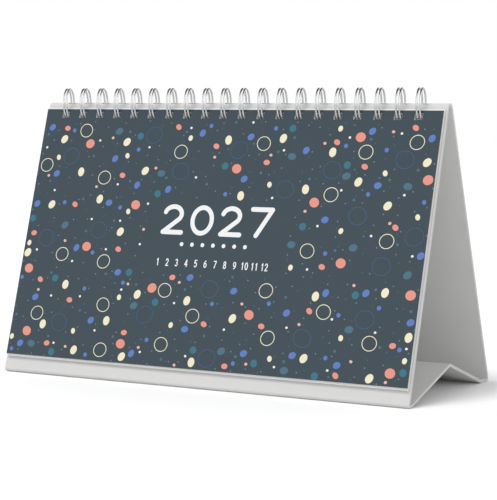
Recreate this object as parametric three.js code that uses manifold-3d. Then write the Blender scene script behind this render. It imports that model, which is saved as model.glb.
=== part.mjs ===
// A tent-shaped desk calendar. A card stand is folded into a closed tent, and a twin-loop wire along its
// crest carries a block of month leaves and a printed front cover.
// Millimetres. +X runs along the width, the front faces -Y, +Z is up, and the origin is the centre of the
// footprint on the surface that the calendar stands on.

import * as THREE from "three";
import { mergeVertices } from "three/addons/utils/BufferGeometryUtils.js";
import Module from "manifold-3d";

// Card stand
const STAND_WIDTH = 182;
const STAND_DEPTH = 76.3;
const FRONT_LEAN = THREE.MathUtils.degToRad(17);
const BACK_LEAN = THREE.MathUtils.degToRad(19.6);
const CARD = 1.2;
const CREST_RADIUS = 2.5;
const FOLD_RADIUS = 1.2;
const CREASE_RADIUS = 2.4;
const FRONT_LIP = 3;
const BACK_LIP = 8;
const RIDGE_SETBACK = 37.4;
const RIDGE_HOLLOW = 10.6;
const LEAST_RADIUS = 0.1;
const ARC_STEP = THREE.MathUtils.degToRad(18);

// Leaves and cover
const SIDE_MARGIN = 0.7;
const FOOT_MARGIN = 7.3;
const LEAVES_THICKNESS = 0.8;
const LEAVES_OVERHANG = 0.75;
const COVER_THICKNESS = 0.3;
const SHEET_GAP = 0.25;

// Twin-loop wire, three loops to the inch
const PITCH = 25.4 / 3;
const ROW_END_MARGIN = 8.5;
const WIRE = 0.8;
const TWIN_SPACING = 1.4;
const LOOP_DEPTH = 5.4;
const LOOP_FORWARD = 0.4;
const LOOP_HEIGHT = 11.8;
const LOOP_RISE = 5.6;
const WIRE_SIDES = 6;
const LOOP_STEPS = 11;
const TURN_STEPS = 3;
const SPINE_ANGLE = THREE.MathUtils.degToRad(-25);
const TIP_ANGLE = THREE.MathUtils.degToRad(308);
const SPINE_BEND = 0.8;

// Punched openings
const PUNCH_WIDTH = 3.4;
const PUNCH_HEIGHT = 2.6;
const PUNCH_LIFT = 0.2;
const PUNCH_EDGE = 1.1;
const CREST_SLOT_DEPTH = 1.7;

// Points closer than this are one vertex
const MERGE_DISTANCE = 1e-3;

const wasm = await Module();
wasm.setup();

function solidOf(geometry) {
  const bare = geometry.clone();
  bare.deleteAttribute("normal");
  bare.deleteAttribute("uv");
  const merged = mergeVertices(bare, MERGE_DISTANCE);
  return new wasm.Manifold(
    new wasm.Mesh({
      numProp: 3,
      vertProperties: merged.attributes.position.array,
      triVerts: new Uint32Array(merged.index.array),
    }),
  );
}

function geometryOf(solid) {
  const mesh = solid.getMesh();
  const shared = new THREE.BufferGeometry();
  shared.setAttribute("position", new THREE.BufferAttribute(mesh.vertProperties, 3));
  shared.setIndex(new THREE.BufferAttribute(mesh.triVerts, 1));
  const flat = shared.toNonIndexed();
  flat.computeVertexNormals();
  return flat;
}

// Outlines lie in the (Y, Z) plane and run anticlockwise, so the left side of each edge is inside.

const crossOf = (a, b) => a.x * b.y - a.y * b.x;

function edgesAt(corners, i) {
  const at = corners[i].point;
  const before = at.clone().sub(corners.at(i - 1).point).normalize();
  const after = corners[(i + 1) % corners.length].point.clone().sub(at).normalize();
  const leftBefore = new THREE.Vector2(-before.y, before.x);
  const leftAfter = new THREE.Vector2(-after.y, after.x);
  const mitre = leftBefore.clone().add(leftAfter);
  mitre.divideScalar(1 + leftBefore.dot(leftAfter));
  const turn = Math.atan2(crossOf(before, after), before.dot(after));
  return { leftBefore, mitre, turn };
}

function insetOutline(corners, distance) {
  return corners.map(({ point, radius }, i) => {
    const { mitre, turn } = edgesAt(corners, i);
    return {
      point: point.clone().addScaledVector(mitre, distance),
      radius: Math.max(radius - Math.sign(turn) * distance, LEAST_RADIUS),
    };
  });
}

function roundedPoints(corners) {
  return corners.flatMap(({ point, radius }, i) => {
    const { leftBefore, mitre, turn } = edgesAt(corners, i);
    const side = Math.sign(turn);
    const centre = point.clone().addScaledVector(mitre, side * radius);
    const steps = Math.ceil(Math.abs(turn) / ARC_STEP);
    return Array.from({ length: steps + 1 }, (_, k) =>
      leftBefore
        .clone()
        .multiplyScalar(-side * radius)
        .rotateAround(new THREE.Vector2(), (turn * k) / steps)
        .add(centre),
    );
  });
}

// The stand's section: front fold, two base lips with the ridge between them, back fold and crest.
const frontUp = new THREE.Vector2(Math.sin(FRONT_LEAN), Math.cos(FRONT_LEAN));
const frontOut = new THREE.Vector2(-frontUp.y, frontUp.x);
const peakHeight = STAND_DEPTH / (Math.tan(FRONT_LEAN) + Math.tan(BACK_LEAN));
const peak = new THREE.Vector2(peakHeight * Math.tan(FRONT_LEAN), peakHeight);
const corner = (y, z, radius) => ({ point: new THREE.Vector2(y, z), radius });
const frontFold = corner(0, 0, FOLD_RADIUS);
const backFold = corner(STAND_DEPTH, 0, FOLD_RADIUS);
const crest = corner(peak.x, peak.y, CREST_RADIUS);
const sectionCorners = [
  frontFold,
  corner(FRONT_LIP, 0, CREASE_RADIUS),
  corner(RIDGE_SETBACK, RIDGE_HOLLOW, CREASE_RADIUS),
  corner(STAND_DEPTH - BACK_LIP, 0, CREASE_RADIUS),
  backFold,
  crest,
];

function foldCentre(fold) {
  const { mitre } = edgesAt(sectionCorners, sectionCorners.indexOf(fold));
  return fold.point.clone().addScaledVector(mitre, fold.radius);
}

const frontFoldCentre = foldCentre(frontFold);
const backFoldCentre = foldCentre(backFold);
const crestCentre = foldCentre(crest);
const crestTop = crestCentre.y + CREST_RADIUS;

// A wire loop is an oval in the (Y, Z) plane. Its back side goes down into the crest, a little in front of
// the crest's middle. Its angle is 0 at the back, a quarter turn at the top and half a turn at the front.
const loopBack = crestCentre.x - LOOP_FORWARD;
const loopCentre = new THREE.Vector2(
  loopBack - LOOP_DEPTH / 2,
  crestTop + LOOP_RISE - LOOP_HEIGHT / 2,
);

function loopPoint(angle) {
  return new THREE.Vector2(
    loopCentre.x + (LOOP_DEPTH / 2) * Math.cos(angle),
    loopCentre.y + (LOOP_HEIGHT / 2) * Math.sin(angle),
  );
}

function loopDirection(angle) {
  const along = new THREE.Vector2(-LOOP_DEPTH * Math.sin(angle), LOOP_HEIGHT * Math.cos(angle));
  return along.normalize();
}

const loopCount = 1 + Math.floor((STAND_WIDTH - 2 * SIDE_MARGIN - 2 * ROW_END_MARGIN) / PITCH);
const loopPlaces = Array.from({ length: loopCount }, (_, i) => (i - (loopCount - 1) / 2) * PITCH);

// Sheets lie on the front panel. Their heights run up its slope from the front fold, and their offsets
// run out from its face.
const leavesOffset = SHEET_GAP;
const coverOffset = leavesOffset + LEAVES_THICKNESS + SHEET_GAP;
const sheetsFront = coverOffset + COVER_THICKNESS;

// The middle of the stretch of the oval that passes through the sheets. The sheets hang on the wire, so
// their openings are centred a little above it.
function passMiddle() {
  const step = THREE.MathUtils.degToRad(1);
  const heights = [];
  for (let angle = Math.PI; angle < 2 * Math.PI; angle += step) {
    const at = loopPoint(angle);
    const offset = at.dot(frontOut);
    if (offset < sheetsFront && offset > -CARD) heights.push(at.dot(frontUp));
  }
  return (Math.min(...heights) + Math.max(...heights)) / 2;
}

const punchHeight = passMiddle() + PUNCH_LIFT;
const coverTop = punchHeight + PUNCH_HEIGHT / 2 + PUNCH_EDGE;
const coverWidth = STAND_WIDTH - 2 * SIDE_MARGIN;

function punchedSheet(bottom, top, thickness) {
  const middle = (bottom + top) / 2;
  const blank = new THREE.BoxGeometry(coverWidth, top - bottom, thickness).translate(0, middle, 0);
  let sheet = solidOf(blank);
  for (const x of loopPlaces) {
    const punch = new THREE.BoxGeometry(PUNCH_WIDTH, PUNCH_HEIGHT, 2 * thickness);
    sheet = sheet.subtract(solidOf(punch.translate(x, punchHeight, 0)));
  }
  return geometryOf(sheet).translate(0, 0, thickness / 2);
}

function makeStand() {
  const section = new THREE.Shape(roundedPoints(sectionCorners));
  section.holes = [new THREE.Path(roundedPoints(insetOutline(sectionCorners, CARD)))];
  const folded = new THREE.ExtrudeGeometry(section, { depth: STAND_WIDTH, bevelEnabled: false });
  const alongWidth = new THREE.Matrix4().makeBasis(
    new THREE.Vector3(0, 1, 0),
    new THREE.Vector3(0, 0, 1),
    new THREE.Vector3(1, 0, 0),
  );
  folded.applyMatrix4(alongWidth).translate(-STAND_WIDTH / 2, 0, 0);

  const frontMiddle = frontUp.clone().multiplyScalar(punchHeight).addScaledVector(frontOut, -CARD / 2);
  let stand = solidOf(folded);
  for (const x of loopPlaces) {
    const frontPunch = new THREE.BoxGeometry(PUNCH_WIDTH, 2 * CARD, PUNCH_HEIGHT)
      .rotateX(-FRONT_LEAN)
      .translate(x, frontMiddle.x, frontMiddle.y);
    const crestSlot = new THREE.BoxGeometry(PUNCH_WIDTH, CREST_SLOT_DEPTH, 2 * CREST_RADIUS)
      .translate(x, loopBack, crestTop);
    stand = stand.subtract(solidOf(frontPunch)).subtract(solidOf(crestSlot));
  }
  return geometryOf(stand);
}

// A curve through a list of points, with one mitred section at each of them.
class BentWire extends THREE.Curve {
  constructor(points) {
    super();
    this.points = points;
  }

  getPoint(t, target = new THREE.Vector3()) {
    const place = t * (this.points.length - 1);
    const i = Math.min(Math.floor(place), this.points.length - 2);
    return target.lerpVectors(this.points[i], this.points[i + 1], place - i);
  }

  getTangent(t, target = new THREE.Vector3()) {
    const last = this.points.length - 1;
    const i = Math.round(t * last);
    const here = this.points[i];
    target.set(0, 0, 0);
    if (i > 0) target.add(here.clone().sub(this.points[i - 1]).normalize());
    if (i < last) target.add(this.points[i + 1].clone().sub(here).normalize());
    return target.normalize();
  }

  getUtoTmapping(u) {
    return u;
  }
}

// Angles down one side of a loop, closer together over the tight top and bottom of the oval.
function loopAngles() {
  const crowding = 0.25;
  const quarterBend = SPINE_BEND / (LOOP_HEIGHT / 2);
  const start = SPINE_ANGLE + quarterBend;
  return Array.from({ length: LOOP_STEPS + 1 }, (_, k) => {
    const even = start + ((TIP_ANGLE - start) * k) / LOOP_STEPS;
    const shift = crowding * Math.sin(2 * even);
    const endFade = Math.sin((Math.PI * k) / LOOP_STEPS);
    return even + shift * endFade;
  });
}

const inSpace = (x, point) => new THREE.Vector3(x, point.x, point.y);

// The two wires of one loop, from its left foot on the spine to its right foot.
function loopPoints(x, isFirst, isLast) {
  const half = TWIN_SPACING / 2;
  const spine = loopPoint(SPINE_ANGLE);
  const tip = loopPoint(TIP_ANGLE);
  const tipDirection = loopDirection(TIP_ANGLE);
  const side = loopAngles().map(loopPoint);
  const spineDirection = loopDirection(SPINE_ANGLE);
  const bendIn = (1 - Math.SQRT1_2) * SPINE_BEND;
  const bendPoint = spine.clone().addScaledVector(spineDirection, bendIn);

  const foot = (sign) => [
    inSpace(x + sign * (half + SPINE_BEND), spine),
    inSpace(x + sign * (half + bendIn), bendPoint),
  ];
  const leftFoot = isFirst ? [inSpace(x - half, spine)] : foot(-1);
  const rightFoot = isLast ? [inSpace(x + half, spine)] : foot(1).reverse();
  const turn = Array.from({ length: TURN_STEPS - 1 }, (_, k) => {
    const angle = (Math.PI * (k + 1)) / TURN_STEPS;
    const beyond = tip.clone().addScaledVector(tipDirection, half * Math.sin(angle));
    return inSpace(x - half * Math.cos(angle), beyond);
  });
  return [
    ...leftFoot,
    ...side.map((point) => inSpace(x - half, point)),
    ...turn,
    ...side.toReversed().map((point) => inSpace(x + half, point)),
    ...rightFoot,
  ];
}

function makeWire() {
  const points = loopPlaces.flatMap((x, i) => loopPoints(x, i === 0, i === loopCount - 1));
  const round = Array.from({ length: WIRE_SIDES }, (_, k) => {
    const angle = (2 * Math.PI * k) / WIRE_SIDES;
    return new THREE.Vector2(Math.cos(angle), Math.sin(angle)).multiplyScalar(WIRE / 2);
  });
  return new THREE.ExtrudeGeometry(new THREE.Shape(round), {
    extrudePath: new BentWire(points),
    steps: points.length - 1,
    bevelEnabled: false,
  });
}

// Materials
const card = new THREE.MeshStandardMaterial({ color: 0xdededd, roughness: 0.6, metalness: 0 });
const paper = new THREE.MeshStandardMaterial({ color: 0xf6f6f4, roughness: 0.8, metalness: 0 });
const print = new THREE.MeshStandardMaterial({ color: 0x4b555d, roughness: 0.5, metalness: 0 });
const steel = new THREE.MeshStandardMaterial({ color: 0xc4c6c8, roughness: 0.25, metalness: 1 });

function named(name, geometry, material) {
  const mesh = new THREE.Mesh(geometry, material);
  mesh.name = name;
  return mesh;
}

const stand = named("stand", makeStand(), card);
const wire = named("wire_binding", makeWire(), steel);

const leavesBottom = FOOT_MARGIN - LEAVES_OVERHANG;
const leavesTop = coverTop + LEAVES_OVERHANG;
const leaves = named("month_pages", punchedSheet(leavesBottom, leavesTop, LEAVES_THICKNESS), paper);
leaves.position.z = leavesOffset;
const cover = named("front_cover", punchedSheet(FOOT_MARGIN, coverTop, COVER_THICKNESS), print);
cover.position.z = coverOffset;

// The sheets' own frame has Y up the front panel's slope and Z out of its face.
const sheets = new THREE.Group();
sheets.rotation.x = Math.PI / 2 - FRONT_LEAN;
sheets.add(leaves, cover);

const calendar = new THREE.Group();
calendar.add(stand, sheets, wire);

// The model is centred between its foremost edge, the cover's foot or the front fold, and the back fold.
const coverFoot = frontUp.clone().multiplyScalar(FOOT_MARGIN).addScaledVector(frontOut, sheetsFront);
const foremost = Math.min(coverFoot.x, frontFoldCentre.x - FOLD_RADIUS);
const rearmost = backFoldCentre.x + FOLD_RADIUS;
calendar.position.y = -(foremost + rearmost) / 2;

const part = new THREE.Group();
part.add(calendar);

export default part;
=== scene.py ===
"""The looks of a tent-shaped desk calendar: folded card stand, month leaves, printed cover and wire.

Lengths are in metres. +X runs along the width, the front faces -Y and +Z is up, as in the frame.
"""

import math
import random

import bpy
import numpy as np
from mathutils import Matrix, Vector
from mathutils.geometry import delaunay_2d_cdt


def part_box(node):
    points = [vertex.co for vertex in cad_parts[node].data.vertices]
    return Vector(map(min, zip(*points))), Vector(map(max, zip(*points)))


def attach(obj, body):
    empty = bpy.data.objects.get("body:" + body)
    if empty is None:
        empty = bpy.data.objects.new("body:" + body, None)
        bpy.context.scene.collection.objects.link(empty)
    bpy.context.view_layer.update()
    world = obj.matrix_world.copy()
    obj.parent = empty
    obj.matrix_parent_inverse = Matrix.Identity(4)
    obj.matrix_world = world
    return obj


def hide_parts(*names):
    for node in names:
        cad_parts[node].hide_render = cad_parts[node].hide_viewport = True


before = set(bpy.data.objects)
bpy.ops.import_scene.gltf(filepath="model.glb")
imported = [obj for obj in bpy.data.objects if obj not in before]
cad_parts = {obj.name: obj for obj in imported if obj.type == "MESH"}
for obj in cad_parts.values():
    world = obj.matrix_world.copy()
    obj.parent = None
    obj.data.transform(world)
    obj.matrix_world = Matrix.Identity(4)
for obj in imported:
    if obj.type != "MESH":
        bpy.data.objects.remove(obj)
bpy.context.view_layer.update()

MM = 0.001

# Card stand
STAND_WIDTH = 182 * MM
STAND_DEPTH = 76.3 * MM
FRONT_LEAN = math.radians(17)
BACK_LEAN = math.radians(19.6)
CARD = 1.2 * MM
CREST_RADIUS = 2.5 * MM
FOLD_RADIUS = 1.2 * MM
CREASE_RADIUS = 2.4 * MM
LEAST_RADIUS = 0.1 * MM
FRONT_LIP = 3 * MM
BACK_LIP = 8 * MM
RIDGE_SETBACK = 37.4 * MM
RIDGE_HOLLOW = 10.6 * MM
ARC_STEP = math.radians(6)
SHARP_ANGLE = math.radians(25)

# Rounding of the card's cut edges, and the share of it by which its middle lies in from both faces
EDGE_ROUND = 0.15 * MM
EDGE_MIDDLE = 0.3

# Leaves and cover
SIDE_MARGIN = 0.7 * MM
FOOT_MARGIN = 7.3 * MM
LEAVES_THICKNESS = 0.8 * MM
LEAVES_OVERHANG = 0.75 * MM
COVER_THICKNESS = 0.3 * MM
SHEET_GAP = 0.25 * MM

# Separate leaves: the share of its place in the block that one fills, and how far each slips up or down,
# which is a sine of its number
LEAF_COUNT = 10
LEAF_SHARE = 0.8
LEAF_SLIP = 0.05 * MM
LEAF_SLIP_TURN = 2.4

# Twin-loop wire, three loops to the inch
PITCH = 25.4 / 3 * MM
ROW_END_MARGIN = 8.5 * MM
WIRE = 0.8 * MM
TWIN_SPACING = 1.4 * MM
LOOP_DEPTH = 5.4 * MM
LOOP_FORWARD = 0.4 * MM
LOOP_HEIGHT = 11.8 * MM
LOOP_RISE = 5.6 * MM
SPINE_ANGLE = math.radians(-25)
TIP_ANGLE = math.radians(308)
SPINE_BEND = 0.8 * MM

# Points along a loop's side, round its tip and round the bend at its foot, and the section's fineness
SIDE_POINTS = 56
TIP_POINTS = 12
FOOT_POINTS = 6
WIRE_ROUNDING = 4

# Punched openings
PUNCH_WIDTH = 3.4 * MM
PUNCH_HEIGHT = 2.6 * MM
PUNCH_LIFT = 0.2 * MM
PUNCH_EDGE = 1.1 * MM
CREST_SLOT_DEPTH = 1.7 * MM

# Matt surfaces shine faintly, and show soft clouds and fine fibres
MATT_SPECULAR = 0.1
CLOUD_SIZE = 9 * MM
FIBRE_SIZE = 0.25 * MM
FIBRE_DETAIL = 4
PAPER_RELIEF = 0.012 * MM
INK_RELIEF = 0.006 * MM

# Bright wire, with faint marks from drawing
WIRE_COLOUR = (0.71, 0.72, 0.73)
WIRE_ROUGHNESS = (0.12, 0.24)
DRAWN_SIZE = 0.6 * MM
DRAWN_RELIEF = 0.01 * MM
DRAWN_STRENGTH = 0.4


# Materials


def srgb(red, green, blue):
    """A colour given on the 0 to 255 screen scale, as linear values by the standard curve."""
    return tuple(
        c / 255 / 12.92 if c <= 10 else ((c / 255 + 0.055) / 1.055) ** 2.4
        for c in (red, green, blue)
    )


def new_material(name, base):
    material = bpy.data.materials.new(name)
    material.use_nodes = True
    nodes = material.node_tree.nodes
    shader = nodes["Principled BSDF"]
    shader.inputs["Base Color"].default_value = (*base, 1)
    return material, nodes, material.node_tree.links, shader


def speckle(nodes, links, size, detail=2):
    """Noise with features of about the given size, in object space."""
    place = nodes.new("ShaderNodeTexCoord")
    noise = nodes.new("ShaderNodeTexNoise")
    noise.inputs["Scale"].default_value = 1 / size
    noise.inputs["Detail"].default_value = detail
    links.new(place.outputs["Object"], noise.inputs["Vector"])
    return noise.outputs["Fac"]


def tint_by(nodes, links, factor, base, spread):
    """The base colour, darker and lighter by the spread as the factor goes from 0 to 1."""
    ramp = nodes.new("ShaderNodeMix")
    ramp.data_type = "RGBA"
    ramp.inputs["A"].default_value = (*(c * (1 - spread) for c in base), 1)
    ramp.inputs["B"].default_value = (*(min(c * (1 + spread), 1) for c in base), 1)
    links.new(factor, ramp.inputs["Factor"])
    return ramp.outputs["Result"]


def remap(nodes, links, value, low, high):
    """A node that takes the value from the range 0 to 1 to the range low to high."""
    node = nodes.new("ShaderNodeMapRange")
    node.inputs["To Min"].default_value = low
    node.inputs["To Max"].default_value = high
    links.new(value, node.inputs["Value"])
    return node


def add_bump(nodes, links, shader, height, distance, strength=1.0):
    bump = nodes.new("ShaderNodeBump")
    bump.inputs["Distance"].default_value = distance
    bump.inputs["Strength"].default_value = strength
    links.new(height, bump.inputs["Height"])
    links.new(bump.outputs["Normal"], shader.inputs["Normal"])


def paper_like(name, base, roughness, spread, relief):
    """A matt material whose tint varies by the spread, with fibres as deep as the relief."""
    material, nodes, links, shader = new_material(name, base)
    shader.inputs["Roughness"].default_value = roughness
    shader.inputs["Specular IOR Level"].default_value = MATT_SPECULAR
    cloud = speckle(nodes, links, CLOUD_SIZE)
    links.new(tint_by(nodes, links, cloud, base, spread), shader.inputs["Base Color"])
    add_bump(nodes, links, shader, speckle(nodes, links, FIBRE_SIZE, FIBRE_DETAIL), relief)
    return material


def card_material():
    colour = srgb(226, 226, 225)
    return paper_like("card_lining", colour, roughness=0.62, spread=0.015, relief=PAPER_RELIEF)


def leaf_material():
    colour = srgb(246, 246, 244)
    return paper_like("leaf_paper", colour, roughness=0.8, spread=0.01, relief=PAPER_RELIEF)


def wire_material():
    material, nodes, links, shader = new_material("bright_wire", WIRE_COLOUR)
    shader.inputs["Metallic"].default_value = 1
    drawn = speckle(nodes, links, DRAWN_SIZE)
    roughness = remap(nodes, links, drawn, *WIRE_ROUGHNESS)
    links.new(roughness.outputs["Result"], shader.inputs["Roughness"])
    add_bump(nodes, links, shader, drawn, DRAWN_RELIEF, DRAWN_STRENGTH)
    return material


INKS = {
    "slate": srgb(73, 85, 93),
    "salmon": srgb(240, 160, 144),
    "pale_pink": srgb(240, 192, 180),
    "cream": srgb(250, 242, 212),
    "blue": srgb(104, 134, 200),
    "teal": srgb(88, 121, 140),
    "deep_teal": srgb(72, 124, 142),
    "navy": srgb(76, 104, 142),
    "mist": srgb(132, 146, 154),
    "white": srgb(250, 252, 252),
}


def ink_material(name):
    return paper_like("print_" + name, INKS[name], roughness=0.5, spread=0.03, relief=INK_RELIEF)


# The stand's section, in its own frame with the front fold's corner at the origin


def unit(vector):
    return vector / np.linalg.norm(vector)


def left_of(vector):
    return np.array([-vector[1], vector[0]])


def turned(vector, angle):
    cos, sin = math.cos(angle), math.sin(angle)
    return np.array([vector[0] * cos - vector[1] * sin, vector[0] * sin + vector[1] * cos])


def corner_edges(corners, i):
    """At one corner: the way left of the side before it, the mitre of its two sides and its turn."""
    here = corners[i][0]
    before = unit(here - corners[i - 1][0])
    after = unit(corners[(i + 1) % len(corners)][0] - here)
    mitre = (left_of(before) + left_of(after)) / (1 + before @ after)
    turn = math.atan2(before[0] * after[1] - before[1] * after[0], before @ after)
    return left_of(before), mitre, turn


def inset_outline(corners, distance):
    """The corners of a parallel outline inside, with radii that keep the card's thickness round a fold."""
    moved = []
    for i, (point, radius) in enumerate(corners):
        _, mitre, turn = corner_edges(corners, i)
        inner_radius = max(radius - math.copysign(distance, turn), LEAST_RADIUS)
        moved.append((point + mitre * distance, inner_radius))
    return moved


def rounded_points(corners):
    points = []
    for i, (point, radius) in enumerate(corners):
        left, mitre, turn = corner_edges(corners, i)
        side = math.copysign(1, turn)
        centre = point + mitre * side * radius
        steps = math.ceil(abs(turn) / ARC_STEP)
        spoke = left * -side * radius
        points += [centre + turned(spoke, turn * k / steps) for k in range(steps + 1)]
    return np.array(points)


front_up = np.array([math.sin(FRONT_LEAN), math.cos(FRONT_LEAN)])
front_out = left_of(front_up)
peak_height = STAND_DEPTH / (math.tan(FRONT_LEAN) + math.tan(BACK_LEAN))
folds = {
    "front": (np.array([0.0, 0.0]), FOLD_RADIUS),
    "front_crease": (np.array([FRONT_LIP, 0.0]), CREASE_RADIUS),
    "ridge": (np.array([RIDGE_SETBACK, RIDGE_HOLLOW]), CREASE_RADIUS),
    "back_crease": (np.array([STAND_DEPTH - BACK_LIP, 0.0]), CREASE_RADIUS),
    "back": (np.array([STAND_DEPTH, 0.0]), FOLD_RADIUS),
    "crest": (np.array([peak_height * math.tan(FRONT_LEAN), peak_height]), CREST_RADIUS),
}
section_corners = list(folds.values())


def fold_centre(name):
    point, radius = folds[name]
    mitre = corner_edges(section_corners, list(folds).index(name))[1]
    return point + mitre * radius


crest_centre = fold_centre("crest")
crest_top = crest_centre[1] + CREST_RADIUS

# The section's own origin lies at this place in the frame, worked out from the stand that the frame holds.
origin_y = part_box("stand")[1].y - (fold_centre("back")[0] + FOLD_RADIUS)


def in_frame(x, point):
    return Vector((x, point[0] + origin_y, point[1]))


# Wire loops are ovals, with their angle 0 at the back, a quarter turn at the top and half a turn in front.
loop_back = crest_centre[0] - LOOP_FORWARD
loop_centre = np.array([loop_back - LOOP_DEPTH / 2, crest_top + LOOP_RISE - LOOP_HEIGHT / 2])


def loop_point(angle):
    reach = np.array([LOOP_DEPTH / 2 * math.cos(angle), LOOP_HEIGHT / 2 * math.sin(angle)])
    return loop_centre + reach


def loop_direction(angle):
    return unit(np.array([-LOOP_DEPTH * math.sin(angle), LOOP_HEIGHT * math.cos(angle)]))


cover_width = STAND_WIDTH - 2 * SIDE_MARGIN
loop_count = 1 + math.floor((cover_width - 2 * ROW_END_MARGIN) / PITCH)
loop_places = [(i - (loop_count - 1) / 2) * PITCH for i in range(loop_count)]

# Distances out from the front panel's face
leaves_offset = SHEET_GAP
cover_offset = leaves_offset + LEAVES_THICKNESS + SHEET_GAP
sheets_front = cover_offset + COVER_THICKNESS


def pass_middle():
    """The height up the front panel at which the lower half of the oval passes through the sheets."""
    heights = []
    for degree in range(180, 360):
        at = loop_point(math.radians(degree))
        if -CARD < at @ front_out < sheets_front:
            heights.append(at @ front_up)
    return (min(heights) + max(heights)) / 2


punch_height = pass_middle() + PUNCH_LIFT
punch_bottom = punch_height - PUNCH_HEIGHT / 2
punch_top = punch_height + PUNCH_HEIGHT / 2
cover_top = punch_top + PUNCH_EDGE


def on_panel(x, height, offset):
    """A point on the front panel's slope: across, up the slope and out from its face."""
    return in_frame(x, front_up * height + front_out * offset)


def above_ground(x, height, depth):
    """A point straight up from the ground: across, up and back from the section's origin."""
    return in_frame(x, (depth, height))


# Mesh helpers

# Faces of a box whose corners go four round the bottom and then four round the top
BOX_FACES = [(0, 3, 2, 1), (4, 5, 6, 7)] + [(i, (i + 1) % 4, (i + 1) % 4 + 4, i + 4) for i in range(4)]


def mesh_object(name, points, faces, materials, indices=None):
    mesh = bpy.data.meshes.new(name)
    mesh.from_pydata([tuple(p) for p in points], [], faces)
    for material in materials:
        mesh.materials.append(material)
    if indices is not None:
        mesh.polygons.foreach_set("material_index", indices)
    mesh.update()
    made = bpy.data.objects.new(name, mesh)
    bpy.context.scene.collection.objects.link(made)
    return made


def smooth_below(obj, angle):
    obj.data.polygons.foreach_set("use_smooth", [True] * len(obj.data.polygons))
    obj.data.set_sharp_from_angle(angle=angle)


def cut_away(obj, boxes):
    """Cuts boxes, given by their corners, out of obj, and leaves the result as its mesh."""
    points, faces = [], []
    for corners in boxes:
        base = len(points)
        points += corners
        faces += [tuple(base + i for i in face) for face in BOX_FACES]
    tool = mesh_object("cutter", points, faces, [])
    step = obj.modifiers.new("punch", "BOOLEAN")
    step.solver = "EXACT"
    step.object = tool
    graph = bpy.context.evaluated_depsgraph_get()
    cut = bpy.data.meshes.new_from_object(obj.evaluated_get(graph))
    obj.modifiers.clear()
    obj.data = cut
    bpy.data.objects.remove(tool)


# Stand


def stand_stations():
    """Places along the width, each with how far the rounded edge draws the card's faces in there."""
    middle = EDGE_MIDDLE * EDGE_ROUND
    edge = [(0, EDGE_ROUND), (middle, middle), (EDGE_ROUND, 0)]
    left = [(-STAND_WIDTH / 2 + along, inset) for along, inset in edge]
    right = [(STAND_WIDTH / 2 - along, inset) for along, inset in reversed(edge)]
    return left + right


def tube_faces(ring, count):
    """Faces of a walled tube. Each of its stations has an outer ring of points, then an inner ring."""
    faces = []
    for s in range(count - 1):
        here = s * 2 * ring
        there = here + 2 * ring
        for i in range(ring):
            j = (i + 1) % ring
            faces.append((here + i, here + j, there + j, there + i))
            faces.append((here + ring + j, here + ring + i, there + ring + i, there + ring + j))
    last = (count - 1) * 2 * ring
    for i in range(ring):
        j = (i + 1) % ring
        faces.append((i, ring + i, ring + j, j))
        faces.append((last + i, last + j, last + ring + j, last + ring + i))
    return faces


def opening_box(place, x, low, high, front, back):
    """Corners of the box that punches one opening at x, as heights and depths that place() understands."""
    left, right = x - PUNCH_WIDTH / 2, x + PUNCH_WIDTH / 2
    rim = [(left, front), (right, front), (right, back), (left, back)]
    return [place(across, height, depth) for height in (low, high) for across, depth in rim]


def stand_openings():
    slot_front = loop_back - CREST_SLOT_DEPTH / 2
    slot_back = loop_back + CREST_SLOT_DEPTH / 2
    slot_top = crest_top + CREST_RADIUS
    boxes = []
    for x in loop_places:
        boxes.append(opening_box(on_panel, x, punch_bottom, punch_top, CARD, -2 * CARD))
        boxes.append(opening_box(above_ground, x, crest_centre[1], slot_top, slot_front, slot_back))
    return boxes


def make_stand():
    stations = stand_stations()
    points = []
    for x, inset in stations:
        outer = rounded_points(inset_outline(section_corners, inset))
        inner = rounded_points(inset_outline(section_corners, CARD - inset))
        points += [in_frame(x, p) for p in outer] + [in_frame(x, p) for p in inner]
    ring = len(points) // len(stations) // 2
    faces = tube_faces(ring, len(stations))
    stand = mesh_object("card_stand", points, faces, [card_material()])
    cut_away(stand, stand_openings())
    smooth_below(stand, SHARP_ANGLE)
    return stand


# Leaves


def add_punched_sheet(points, faces, bottom, top, front_offset, thickness):
    """Adds one flat sheet with its row of openings to points and faces."""
    xs = [-cover_width / 2]
    for x in loop_places:
        xs += [x - PUNCH_WIDTH / 2, x + PUNCH_WIDTH / 2]
    xs.append(cover_width / 2)
    heights = [bottom, punch_bottom, punch_top, top]
    base = len(points)
    rows = len(heights)
    layer = len(xs) * rows
    for offset in (front_offset, front_offset - thickness):
        points += [on_panel(x, h, offset) for x in xs for h in heights]

    def solid(i, j):
        """Whether the sheet fills this cell. Every second cell of the middle row is an opening."""
        in_range = 0 <= i < len(xs) - 1 and 0 <= j < rows - 1
        return in_range and not (j == 1 and i % 2 == 1)

    def vertex(i, j, back):
        return base + i * rows + j + (layer if back else 0)

    for i in range(len(xs) - 1):
        for j in range(rows - 1):
            if not solid(i, j):
                continue
            loop = [(i, j), (i + 1, j), (i + 1, j + 1), (i, j + 1)]
            faces.append(tuple(vertex(a, b, False) for a, b in loop))
            faces.append(tuple(vertex(a, b, True) for a, b in reversed(loop)))
            for k, beside in enumerate([(i, j - 1), (i + 1, j), (i, j + 1), (i - 1, j)]):
                if solid(*beside):
                    continue
                start, end = loop[k], loop[(k + 1) % len(loop)]
                faces.append(
                    (vertex(*end, False), vertex(*start, False), vertex(*start, True), vertex(*end, True))
                )


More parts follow.
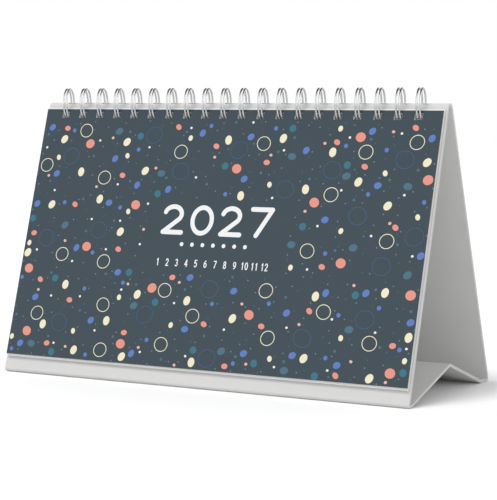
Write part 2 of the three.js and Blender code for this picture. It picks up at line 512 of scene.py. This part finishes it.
def make_leaves():
    points, faces = [], []
    pitch = LEAVES_THICKNESS / LEAF_COUNT
    thickness = LEAF_SHARE * pitch
    for k in range(LEAF_COUNT):
        front = leaves_offset + pitch * (k + 1) - (pitch - thickness) / 2
        slip = LEAF_SLIP * math.sin(LEAF_SLIP_TURN * k)
        bottom = FOOT_MARGIN - LEAVES_OVERHANG + slip
        top = cover_top + LEAVES_OVERHANG + slip
        add_punched_sheet(points, faces, bottom, top, front, thickness)
    return mesh_object("leaf_block", points, faces, [leaf_material()])


# The cover's print: a flat partition of the sheet into fields of ink

# The year and the row of month numbers: width and height of a digit, the step from one to the next, the
# width of a stroke and the height of the row's middle
YEAR = "2027"
YEAR_DIGIT = (10.4 * MM, 11.8 * MM)
YEAR_ADVANCE = 13.3 * MM
YEAR_STROKE = 1.9 * MM
YEAR_MIDDLE = 66.3 * MM
MONTHS = 12
MONTH_DIGIT = (1.25 * MM, 3 * MM)
MONTH_DIGIT_ADVANCE = 1.75 * MM
MONTH_PITCH = 4.4 * MM
MONTH_STROKE = 0.42 * MM
MONTH_MIDDLE = 48.9 * MM

# A row of dots, one to each day of the week
WEEKDAYS = 7
WEEKDAY_DOT = 0.85 * MM
WEEKDAY_PITCH = 4.8 * MM
WEEKDAY_MIDDLE = 56.4 * MM

# Confetti in millimetres: ink, half width, half height, tilt in degrees, line width of a ring, number
CONFETTI = [
    ("cream", 3.1, 2.9, 0, 0.3, 22),
    ("navy", 3.9, 3.5, 0, 0.25, 18),
    ("salmon", 2.1, 1.9, 0, 0, 15),
    ("cream", 1.5, 1.9, -20, 0, 30),
    ("teal", 1.8, 1.4, 12, 0, 14),
    ("blue", 1.6, 1.3, 35, 0, 32),
    ("salmon", 1.4, 1.1, -15, 0, 24),
    ("deep_teal", 1.5, 1.5, 0, 0, 16),
    ("cream", 1.0, 1.2, 0, 0, 18),
    ("blue", 0.9, 0.9, 0, 0, 26),
    ("pale_pink", 0.7, 0.6, 0, 0, 24),
    ("white", 0.55, 0.5, 0, 0, 40),
    ("teal", 0.6, 0.6, 0, 0, 40),
    ("mist", 0.3, 0.28, 0, 0, 240),
    ("teal", 0.25, 0.25, 0, 0, 160),
]
CONFETTI_GAP = 0.8 * MM
CONFETTI_TRIES = 24
CONFETTI_SEED = 12
CONFETTI_TURN = 25

# The place of the numerals and the dots, which the confetti keeps out of
TEXT_HALF_WIDTH = 32 * MM
TEXT_BOTTOM = 45 * MM
TEXT_TOP = 74.5 * MM

# Fineness of the outlines. A turn under the first of these counts as straight.
STRAIGHT_TURN = 0.02
ROUND_STEP = math.radians(15)
CAP_STEPS = 10
OVAL_SIDES_PER_MM = 14
LEAST_OVAL_SIDES = 8
MOST_OVAL_SIDES = 40

# What the triangulation gives back, and how near two points are merged
TRIANGLES_INSIDE = 1
MERGE_DISTANCE = 1e-7


def arc(cx, cy, rx, ry, start, end, steps=14):
    """Points of an oval arc from one angle to another, in degrees."""
    angles = np.radians(np.linspace(start, end, steps + 1))
    return [(cx + rx * math.cos(a), cy + ry * math.sin(a)) for a in angles]


# Strokes of plain upright numerals, on a cell one unit wide and one unit high
DIGIT_STROKES = {
    "0": [arc(0.5, 0.5, 0.42, 0.44, 90, 450, 32)],
    "1": [[(0.3, 0.76), (0.58, 0.94), (0.58, 0.06)]],
    "2": [arc(0.47, 0.68, 0.37, 0.26, 165, -38) + [(0.1, 0.06), (0.92, 0.06)]],
    "3": [arc(0.45, 0.71, 0.33, 0.23, 150, -80) + arc(0.45, 0.28, 0.4, 0.22, 75, -150)],
    "4": [[(0.7, 0.06), (0.7, 0.94), (0.08, 0.3), (0.95, 0.3)]],
    "5": [[(0.85, 0.94), (0.22, 0.94), (0.16, 0.54)] + arc(0.46, 0.34, 0.42, 0.28, 130, -145)],
    "6": [arc(0.95, 0.4, 0.85, 0.54, 110, 180) + arc(0.5, 0.33, 0.4, 0.27, 180, 525, 24)],
    "7": [[(0.08, 0.94), (0.92, 0.94), (0.35, 0.06)]],
    "8": [arc(0.5, 0.72, 0.33, 0.22, 90, 450, 24), arc(0.5, 0.28, 0.4, 0.22, 90, 450, 24)],
    "9": [arc(0.5, 0.67, 0.4, 0.27, 0, 345, 24) + arc(0.05, 0.6, 0.85, 0.54, 0, -70)],
}


def stroke_outline(points, half):
    """The outline of a stroke with round ends and round outer corners."""
    points = [np.array(p) for p in points]
    ahead = [unit(b - a) for a, b in zip(points, points[1:])]

    def side(order, directions):
        line = []
        for i, point in enumerate(order):
            into = directions[max(i - 1, 0)]
            out = directions[min(i, len(directions) - 1)]
            turn = math.atan2(into[0] * out[1] - into[1] * out[0], into @ out)
            if turn > STRAIGHT_TURN:
                line.append(point + (left_of(into) + left_of(out)) / (1 + into @ out) * half)
            else:
                steps = max(1, math.ceil(-turn / ROUND_STEP))
                line += [point + turned(left_of(into), turn * k / steps) * half for k in range(steps + 1)]
        tip, way = order[-1], left_of(directions[-1])
        return line + [tip + turned(way, -math.pi * k / CAP_STEPS) * half for k in range(1, CAP_STEPS)]

    back = [-d for d in reversed(ahead)]
    return side(points, ahead) + side(list(reversed(points)), back)


def distance_to_line(at, line):
    """The distance of each row of at from a polyline."""
    nearest = np.full(len(at), np.inf)
    for a, b in zip(line, line[1:]):
        a, b = np.array(a), np.array(b)
        along = np.clip(((at - a) @ (b - a)) / ((b - a) @ (b - a)), 0, 1)
        nearest = np.minimum(nearest, np.linalg.norm(at - a - along[:, None] * (b - a), axis=1))
    return nearest


def number_strokes(text, middle, cell, advance):
    """The strokes of a number, centred on a middle point, each digit in a cell of the given size."""
    left = middle[0] - ((len(text) - 1) * advance + cell[0]) / 2
    strokes = []
    for k, letter in enumerate(text):
        corner = np.array([left + k * advance, middle[1] - cell[1] / 2])
        strokes += [[corner + np.array(p) * cell for p in line] for line in DIGIT_STROKES[letter]]
    return strokes


def numerals():
    """Centre lines and widths of the year's strokes and of the row of month numbers."""
    year = number_strokes(YEAR, (0, YEAR_MIDDLE), YEAR_DIGIT, YEAR_ADVANCE)
    lines = [(line, YEAR_STROKE) for line in year]
    for month in range(1, MONTHS + 1):
        middle = ((month - (MONTHS + 1) / 2) * MONTH_PITCH, MONTH_MIDDLE)
        small = number_strokes(str(month), middle, MONTH_DIGIT, MONTH_DIGIT_ADVANCE)
        lines += [(line, MONTH_STROKE) for line in small]
    return lines


def is_clear(at, reach, kept):
    """Whether a shape of the given reach lies inside the sheet and apart from what is printed there."""
    low, high = FOOT_MARGIN + reach, punch_bottom - reach
    inside = abs(at[0]) < cover_width / 2 - reach and low < at[1] < high - CONFETTI_GAP
    beside_text = abs(at[0]) > TEXT_HALF_WIDTH + reach
    off_text = beside_text or at[1] < TEXT_BOTTOM - reach or at[1] > TEXT_TOP + reach
    apart = all(math.dist(at, other) > reach + r + CONFETTI_GAP for other, r in kept)
    return inside and off_text and apart


def confetti():
    """Dots scattered so that those of one kind lie far apart, and none touch.

    Each is its centre, half width, half height, turn, line width if it is a ring, and ink.
    """
    dice = random.Random(CONFETTI_SEED)
    kept, shapes = [], []
    for ink, wide, high, tilt, line, number in CONFETTI:
        reach = max(wide, high) * MM
        same = []
        for _ in range(number):
            best, best_room = None, 0
            for _ in range(CONFETTI_TRIES):
                at = (
                    dice.uniform(-cover_width / 2, cover_width / 2),
                    dice.uniform(FOOT_MARGIN, punch_bottom),
                )
                room = min((math.dist(at, other) for other in same), default=math.inf)
                if room > best_room and is_clear(at, reach, kept):
                    best, best_room = at, room
            if best:
                same.append(best)
                kept.append((best, reach))
                turn = math.radians(tilt + dice.uniform(-CONFETTI_TURN, CONFETTI_TURN))
                shapes.append((np.array(best), wide * MM, high * MM, turn, line * MM, ink))
    return shapes


def weekday_dots():
    places = [(k - (WEEKDAYS - 1) / 2) * WEEKDAY_PITCH for k in range(WEEKDAYS)]
    return [
        (np.array([x, WEEKDAY_MIDDLE]), WEEKDAY_DOT, WEEKDAY_DOT, 0, 0, "white") for x in places
    ]


def oval(at, wide, high, turn, count):
    angles = [2 * math.pi * k / count for k in range(count)]
    return [at + turned(np.array([wide * math.cos(a), high * math.sin(a)]), turn) for a in angles]


def inside_oval(points, at, wide, high, turn):
    local = np.array([turned(offset, -turn) for offset in (points - at)])
    return np.hypot(local[:, 0] / wide, local[:, 1] / high) < 1


def ring_outlines(line, half):
    """The outer and inner outline of a closed stroke."""
    middle = sum(line[:-1]) / len(line[:-1])
    outlines = [[], []]
    for i, p in enumerate(line[:-1]):
        out = left_of(unit(line[i + 1] - line[i - 1 if i else -2]))
        out = out if (p - middle) @ out > 0 else -out
        outlines[0].append(p + out * half)
        outlines[1].append(p - out * half)
    return outlines


def print_outlines(dots, lines):
    outlines = []
    for at, wide, high, turn, line, _ in dots:
        sides = max(LEAST_OVAL_SIDES, min(MOST_OVAL_SIDES, round(wide / MM * OVAL_SIDES_PER_MM)))
        outlines.append(oval(at, wide, high, turn, sides))
        if line:
            outlines.append(oval(at, wide - line, high - line, turn, sides))
    for line, width in lines:
        if np.allclose(line[0], line[-1]):
            outlines += ring_outlines(line, width / 2)
        else:
            outlines.append(stroke_outline(line, width / 2))
    return outlines


def sheet_outlines():
    """The cover's rim and its openings."""
    side, half = cover_width / 2, PUNCH_WIDTH / 2
    spans = [(-side, side, FOOT_MARGIN, cover_top)]
    spans += [(x - half, x + half, punch_bottom, punch_top) for x in loop_places]
    return [
        [(left, low), (right, low), (right, high), (left, high)] for left, right, low, high in spans
    ]


def ink_of_each(middles, dots, lines):
    """The number of the ink at each of the given points of the sheet."""
    inks = list(INKS)
    index = np.full(len(middles), inks.index("slate"))
    for at, wide, high, turn, line, ink in dots:
        near = np.flatnonzero(np.linalg.norm(middles - at, axis=1) < max(wide, high))
        if not len(near):
            continue
        inked = inside_oval(middles[near], at, wide, high, turn)
        if line:
            inked &= ~inside_oval(middles[near], at, wide - line, high - line, turn)
        index[near[inked]] = inks.index(ink)
    for line, width in lines:
        index[distance_to_line(middles, line) < width / 2] = inks.index("white")
    return index


# Cover


def divide_sheet(outlines):
    """Points, triangles and their middles on the flat sheet, cut along each outline, with no openings."""
    points, edges = [], []
    for outline in outlines:
        base = len(points)
        points += [Vector(p) for p in outline]
        edges += [(base + i, base + (i + 1) % len(outline)) for i in range(len(outline))]
    flat, _, triangles, _, _, _ = delaunay_2d_cdt(points, edges, [], TRIANGLES_INSIDE, MERGE_DISTANCE)
    flat, triangles = np.array(flat), np.array(triangles)
    middles = flat[triangles].mean(axis=1)
    punched = np.zeros(len(triangles), bool)
    for x in loop_places:
        beside = abs(middles[:, 0] - x) < PUNCH_WIDTH / 2
        punched |= beside & (abs(middles[:, 1] - punch_height) < PUNCH_HEIGHT / 2)
    return flat, triangles[~punched], middles[~punched]


def facing_out(flat, triangle):
    """The triangle's corners in the order that turns its face to the front."""
    a, b, c = flat[triangle]
    ab, ac = b - a, c - a
    return tuple(triangle) if ab[0] * ac[1] > ab[1] * ac[0] else tuple(reversed(triangle))


def make_cover():
    dots = confetti() + weekday_dots()
    lines = numerals()
    flat, triangles, middles = divide_sheet(sheet_outlines() + print_outlines(dots, lines))
    count = len(flat)
    front = [facing_out(flat, t) for t in triangles]
    back = [tuple(count + i for i in reversed(t)) for t in front]
    ways = {(t[i], t[(i + 1) % 3]) for t in front for i in range(3)}
    border = [(a, b) for a, b in ways if (b, a) not in ways]
    walls = [(b, a, count + a, count + b) for a, b in border]
    placed = [on_panel(x, y, sheets_front) for x, y in flat]
    placed += [on_panel(x, y, cover_offset) for x, y in flat]
    paper = len(INKS)
    index = [int(i) for i in ink_of_each(middles, dots, lines)] + [paper] * (len(back) + len(walls))
    materials = [ink_material(name) for name in INKS] + [leaf_material()]
    return mesh_object("printed_cover", placed, front + back + walls, materials, index)


# Wire


def loop_path(x, first, last):
    """The two wires of one loop, from the left foot on the spine to the right foot."""
    half = TWIN_SPACING / 2
    spine, spine_way = loop_point(SPINE_ANGLE), loop_direction(SPINE_ANGLE)
    tip, tip_way = loop_point(TIP_ANGLE), loop_direction(TIP_ANGLE)
    start = SPINE_ANGLE + SPINE_BEND / (LOOP_HEIGHT / 2)
    side = [loop_point(a) for a in np.linspace(start, TIP_ANGLE, SIDE_POINTS)]

    def foot(sign):
        bend = []
        for k in range(FOOT_POINTS):
            angle = math.pi / 2 * k / FOOT_POINTS
            across = half + SPINE_BEND * (1 - math.sin(angle))
            up = SPINE_BEND * (1 - math.cos(angle))
            bend.append(in_frame(x + sign * across, spine + spine_way * up))
        return bend

    left = [in_frame(x - half, spine)] if first else foot(-1)
    right = [in_frame(x + half, spine)] if last else foot(1)[::-1]
    turn = [
        in_frame(x - half * math.cos(a), tip + tip_way * half * math.sin(a))
        for a in np.linspace(0, math.pi, TIP_POINTS)[1:-1]
    ]
    up_side = [in_frame(x - half, p) for p in side]
    down_side = [in_frame(x + half, p) for p in reversed(side)]
    return left + up_side + turn + down_side + right


def make_wire():
    path = []
    for i, x in enumerate(loop_places):
        path += loop_path(x, i == 0, i == loop_count - 1)
    curve = bpy.data.curves.new("twin_loop_wire", "CURVE")
    curve.dimensions = "3D"
    curve.bevel_depth = WIRE / 2
    curve.bevel_resolution = WIRE_ROUNDING
    curve.use_fill_caps = True
    spline = curve.splines.new("POLY")
    spline.points.add(len(path) - 1)
    for knot, point in zip(spline.points, path):
        knot.co = (*point, 1)
    curve.materials.append(wire_material())
    wire = bpy.data.objects.new("twin_loop_wire", curve)
    bpy.context.scene.collection.objects.link(wire)
    return wire


# Stage, light and camera

CAMERA_AZIMUTH = math.radians(29.77)
CAMERA_ELEVATION = math.radians(4.87)
CAMERA_PLACE = (0.3565, -0.6184, 0.1118)
CAMERA_LENS = 128.4
SENSOR = 36
CLIP_START = 10 * MM

# The floor's grey as light meets it, and the brighter one that the camera alone sees
FLOOR_GREY = 0.8
FLOOR_GAIN = 1.14
FLOOR_REACH = 3
FLOOR_DROP = 0.1 * MM

# Soft lamps: name, level, direction towards it, full spread in degrees and whether gloss shows it
LAMPS = [
    ("key", 0.44, (-0.22, -0.45, 0.87), 25, False),
    ("side", 0.14, (0.9, -0.4, 0.2), 50, True),
    ("back", 0.05, (-0.4, 0.48, 0.76), 50, False),
]

# The sky's level on matt surfaces. In reflections a white backdrop reaches up to the first of these angles,
# and fades to a dark ceiling, which starts at the second.
FILL_LEVEL = 0.51
BACKDROP_TOP = math.radians(20)
CEILING_EDGE = math.radians(42)
CEILING_LEVEL = 0.08


def grey(level):
    return (level, level, level, 1)


def make_floor():
    r = FLOOR_REACH
    corners = [(-r, -r, 0), (r, -r, 0), (r, r, 0), (-r, r, 0)]
    material = bpy.data.materials.new("floor")
    material.use_nodes = True
    nodes, links = material.node_tree.nodes, material.node_tree.links
    nodes.clear()
    plain = nodes.new("ShaderNodeBsdfDiffuse")
    plain.inputs["Color"].default_value = grey(FLOOR_GREY)
    bright = nodes.new("ShaderNodeBsdfDiffuse")
    bright.inputs["Color"].default_value = grey(FLOOR_GAIN)
    path = nodes.new("ShaderNodeLightPath")
    mix = nodes.new("ShaderNodeMixShader")
    output = nodes.new("ShaderNodeOutputMaterial")
    links.new(path.outputs["Is Camera Ray"], mix.inputs["Fac"])
    links.new(plain.outputs["BSDF"], mix.inputs[1])
    links.new(bright.outputs["BSDF"], mix.inputs[2])
    links.new(mix.outputs["Shader"], output.inputs["Surface"])
    floor = mesh_object("floor", corners, [(0, 1, 2, 3)], [material])
    floor.location.z = -FLOOR_DROP


def plain_sky(nodes, links, path):
    """The sky's strength for all but reflections: 1 where it is seen, and the fill where it lights."""
    seen = nodes.new("ShaderNodeMath")
    seen.operation = "MAXIMUM"
    links.new(path.outputs["Is Camera Ray"], seen.inputs[0])
    links.new(path.outputs["Is Transmission Ray"], seen.inputs[1])
    return remap(nodes, links, seen.outputs["Value"], FILL_LEVEL, 1).outputs["Result"]


def mirrored_room(nodes, links):
    """The sky's strength in reflections, which goes down from the backdrop to the ceiling."""
    way = nodes.new("ShaderNodeTexCoord")
    height = nodes.new("ShaderNodeSeparateXYZ")
    links.new(way.outputs["Generated"], height.inputs["Vector"])
    room = remap(nodes, links, height.outputs["Z"], 1, CEILING_LEVEL)
    room.interpolation_type = "SMOOTHSTEP"
    room.inputs["From Min"].default_value = math.sin(BACKDROP_TOP)
    room.inputs["From Max"].default_value = math.sin(CEILING_EDGE)
    return room.outputs["Result"]


def make_world():
    world = bpy.data.worlds.new("studio")
    bpy.context.scene.world = world
    world.use_nodes = True
    nodes, links = world.node_tree.nodes, world.node_tree.links
    nodes.clear()
    path = nodes.new("ShaderNodeLightPath")
    strength = nodes.new("ShaderNodeMix")
    links.new(path.outputs["Is Glossy Ray"], strength.inputs["Factor"])
    links.new(plain_sky(nodes, links, path), strength.inputs["A"])
    links.new(mirrored_room(nodes, links), strength.inputs["B"])
    sky = nodes.new("ShaderNodeBackground")
    sky.inputs["Color"].default_value = grey(1)
    links.new(strength.outputs["Result"], sky.inputs["Strength"])
    output = nodes.new("ShaderNodeOutputWorld")
    links.new(sky.outputs["Background"], output.inputs["Surface"])


def make_lamp(name, level, towards, spread, in_gloss):
    """A far soft lamp. A surface that faces it is lit to the level, where 1 shows its colour as written."""
    lamp = bpy.data.lights.new(name, "SUN")
    lamp.energy = level * math.pi
    lamp.angle = math.radians(spread)
    holder = bpy.data.objects.new(name, lamp)
    holder.rotation_mode = "QUATERNION"
    holder.rotation_quaternion = Vector(towards).to_track_quat("Z", "Y")
    holder.visible_glossy = in_gloss
    bpy.context.scene.collection.objects.link(holder)


def make_camera():
    camera = bpy.data.cameras.new("camera")
    camera.lens = CAMERA_LENS
    camera.sensor_width = SENSOR
    camera.clip_start = CLIP_START
    holder = bpy.data.objects.new("camera", camera)
    holder.location = CAMERA_PLACE
    holder.rotation_euler = (math.pi / 2 - CAMERA_ELEVATION, 0, CAMERA_AZIMUTH)
    bpy.context.scene.collection.objects.link(holder)
    bpy.context.scene.camera = holder


def main():
    make_camera()
    make_floor()
    make_world()
    for lamp in LAMPS:
        make_lamp(*lamp)
    bpy.context.scene.view_settings.view_transform = "Standard"

    for made, node, slot in (
        (make_stand(), "stand", "card"),
        (make_leaves(), "month_pages", "paper"),
        (make_cover(), "front_cover", "printed_cover"),
        (make_wire(), "wire_binding", "wire"),
    ):
        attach(made, "root")
        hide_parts(node)


main()
